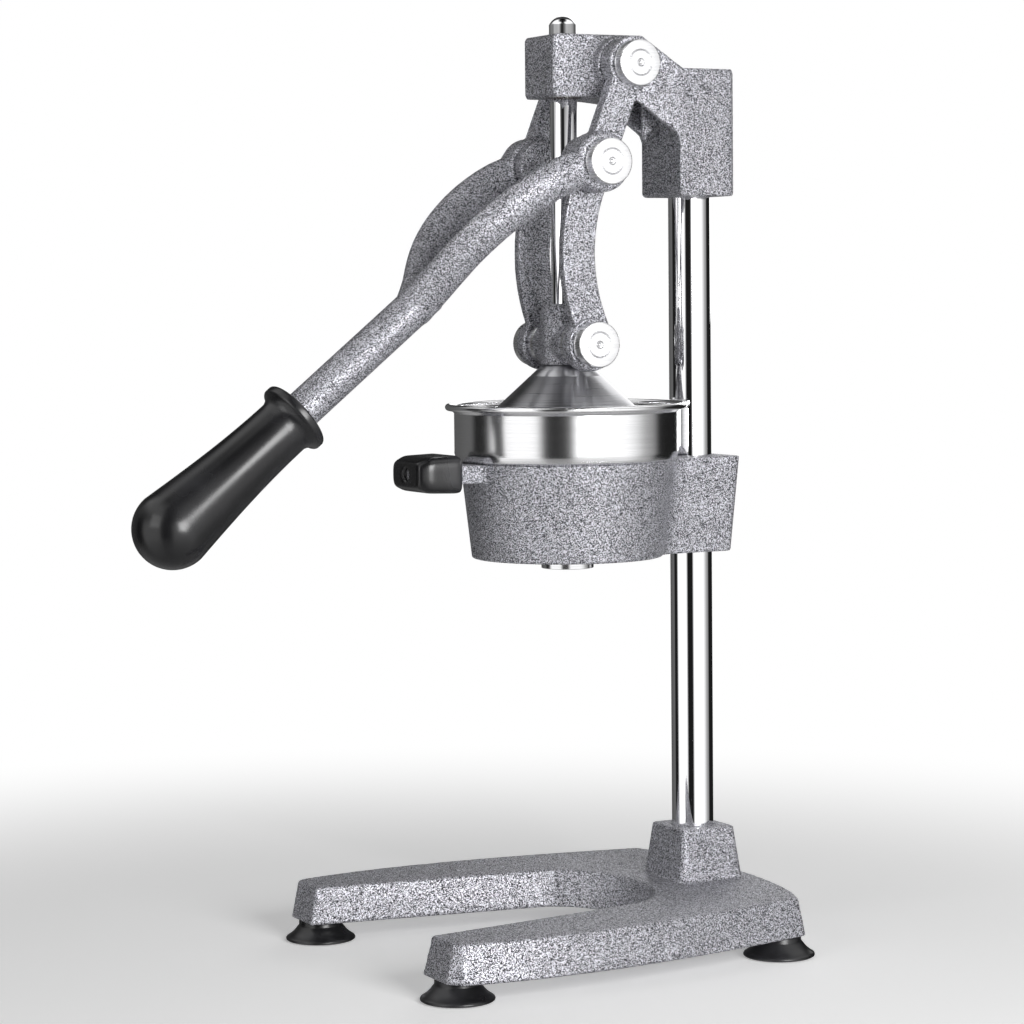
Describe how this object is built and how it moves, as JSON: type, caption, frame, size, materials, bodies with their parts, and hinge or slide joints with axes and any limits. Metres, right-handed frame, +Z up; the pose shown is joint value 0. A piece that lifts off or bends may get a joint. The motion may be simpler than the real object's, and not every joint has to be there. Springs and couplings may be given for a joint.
{
  "type": "lever citrus juice press",
  "caption": "Hand-lever citrus juice press: U base on suction feet, chrome column, cast head, forked lever with side links, press cone over a strainer cup.",
  "frame": {"origin": "on the floor plane, in the middle of the press's length and width with the lever down; the column's axis is 139.3 mm behind it", "axes": "+Z up the column, -Y towards the lever's grip and the open end of the base, +X to the right of the operator's side seen in the picture"},
  "size_m": [0.2078, 0.341, 0.4768],
  "materials": {
    "hammered_paint": "silver-grey hammered enamel with fine dark speckle on castings",
    "chrome_plate": "mirror chrome plate",
    "polished_steel": "polished stainless sheet",
    "dark_brushed_steel": "circular brushed stainless, dark",
    "satin_steel": "turned satin steel",
    "zinc_steel": "zinc-plated fastener steel",
    "bronze": "plain bearing bronze",
    "black_plastic": "semi-gloss black plastic",
    "black_rubber": "black rubber"
  },
  "bodies": {
    "frame": {"base_casting": "hammered_paint", "foot_front_right": "black_rubber", "foot_front_left": "black_rubber", "foot_rear_right": "black_rubber", "foot_rear_left": "black_rubber", "foot_screws": "zinc_steel", "column": "chrome_plate", "column_washer": "zinc_steel", "column_bolt": "zinc_steel", "head_casting": "hammered_paint", "head_set_screws": "zinc_steel", "rod_bush_upper": "bronze", "rod_bush_lower": "bronze", "bracket_casting": "hammered_paint", "bracket_set_screw": "zinc_steel", "bracket_cap": "black_plastic", "bracket_cap_screw": "zinc_steel", "strainer_cup": "polished_steel", "reamer": "polished_steel", "drain_funnel": "polished_steel", "top_pin_right": "satin_steel", "top_pin_left": "satin_steel"},
    "lever": {"lever_yoke": "hammered_paint", "lever_grip": "black_plastic", "mid_pin_right": "satin_steel", "mid_pin_left": "satin_steel"},
    "ram": {"press_rod": "chrome_plate", "ram_block": "hammered_paint", "ram_set_screw": "zinc_steel", "press_cone": "dark_brushed_steel", "cone_nut": "zinc_steel", "lower_pin_right": "satin_steel", "lower_pin_left": "satin_steel", "lower_spacer_right": "satin_steel", "lower_spacer_left": "satin_steel"},
    "link_right": {"link_right": "hammered_paint"},
    "link_left": {"link_left": "hammered_paint"}
  },
  "joints": [
    {"name": "lever_hinge", "type": "hinge", "parent": "frame", "child": "lever", "pos_m": [0, 0.0848, 0.451], "axis": [-1, 0, 0], "range_deg": [0, 80]},
    {"name": "ram_slide", "type": "slide", "parent": "frame", "child": "ram", "axis": [0, 0, 1], "range_m": [0, 0.0659]},
    {"name": "link_right_hinge", "type": "hinge", "parent": "ram", "child": "link_right", "pos_m": [0, 0.0653, 0.3109], "axis": [1, 0, 0], "range_deg": [0, 20.9]},
    {"name": "link_left_hinge", "type": "hinge", "parent": "ram", "child": "link_left", "pos_m": [0, 0.0653, 0.3109], "axis": [1, 0, 0], "range_deg": [0, 20.9]}
  ],
  "couplings": [
    {"joint": "ram_slide", "follows": "lever_hinge", "m_per_rad": 0.047133},
    {"joint": "link_right_hinge", "follows": "lever_hinge", "ratio": 0.2605},
    {"joint": "link_left_hinge", "follows": "lever_hinge", "ratio": 0.2605}
  ]
}
